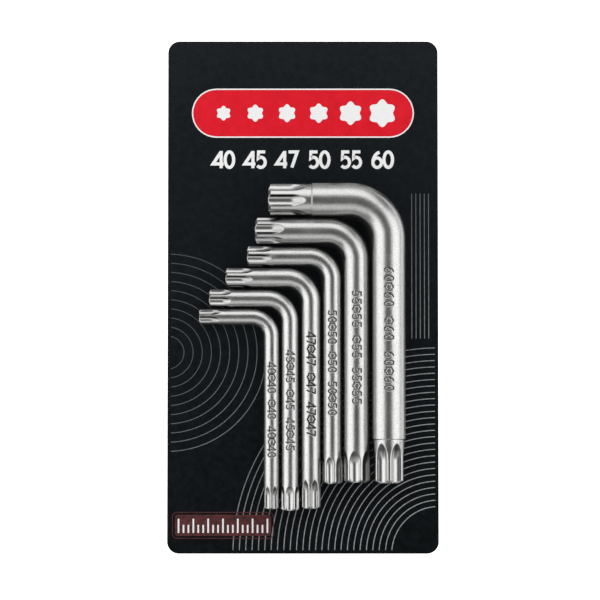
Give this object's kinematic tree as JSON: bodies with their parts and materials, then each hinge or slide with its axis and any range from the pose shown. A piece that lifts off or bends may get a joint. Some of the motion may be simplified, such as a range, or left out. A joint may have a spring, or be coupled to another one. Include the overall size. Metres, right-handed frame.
{
  "type": "star key set",
  "caption": "Set of L-shaped steel star keys with six-lobed tips on both legs, nested by size and tacked flat to a rounded black display card.",
  "frame": {"origin": "middle of the card's back, which lies on the surface under it", "axes": "+X to the card's right, +Y to its top along the long legs, +Z out of its face towards the keys"},
  "size_m": [0.1156, 0.219, 0.016],
  "materials": {
    "satin_steel": "matt nickel plate, brighter at the stars",
    "printed_sheet": "black print under a thin satin varnish",
    "grey_board": "raw cut edge",
    "liner_paper": "matt",
    "tack": "soft set hot-melt"
  },
  "bodies": {
    "card": {"card_board": "grey_board", "card_face": "printed_sheet", "card_liner": "liner_paper", "tack_dots_60": "tack", "tack_dots_55": "tack", "tack_dots_50": "tack", "tack_dots_47": "tack", "tack_dots_45": "tack", "tack_dots_40": "tack"},
    "key_60": {"key_60": "satin_steel"},
    "key_55": {"key_55": "satin_steel"},
    "key_50": {"key_50": "satin_steel"},
    "key_47": {"key_47": "satin_steel"},
    "key_45": {"key_45": "satin_steel"},
    "key_40": {"key_40": "satin_steel"}
  },
  "joints": [
    {"name": "key_60_lift", "type": "slide", "parent": "card", "child": "key_60", "axis": [0, 0, 1], "range_m": [0, 0.04]},
    {"name": "key_55_lift", "type": "slide", "parent": "card", "child": "key_55", "axis": [0, 0, 1], "range_m": [0, 0.04]},
    {"name": "key_50_lift", "type": "slide", "parent": "card", "child": "key_50", "axis": [0, 0, 1], "range_m": [0, 0.04]},
    {"name": "key_47_lift", "type": "slide", "parent": "card", "child": "key_47", "axis": [0, 0, 1], "range_m": [0, 0.04]},
    {"name": "key_45_lift", "type": "slide", "parent": "card", "child": "key_45", "axis": [0, 0, 1], "range_m": [0, 0.04]},
    {"name": "key_40_lift", "type": "slide", "parent": "card", "child": "key_40", "axis": [0, 0, 1], "range_m": [0, 0.04]}
  ]
}
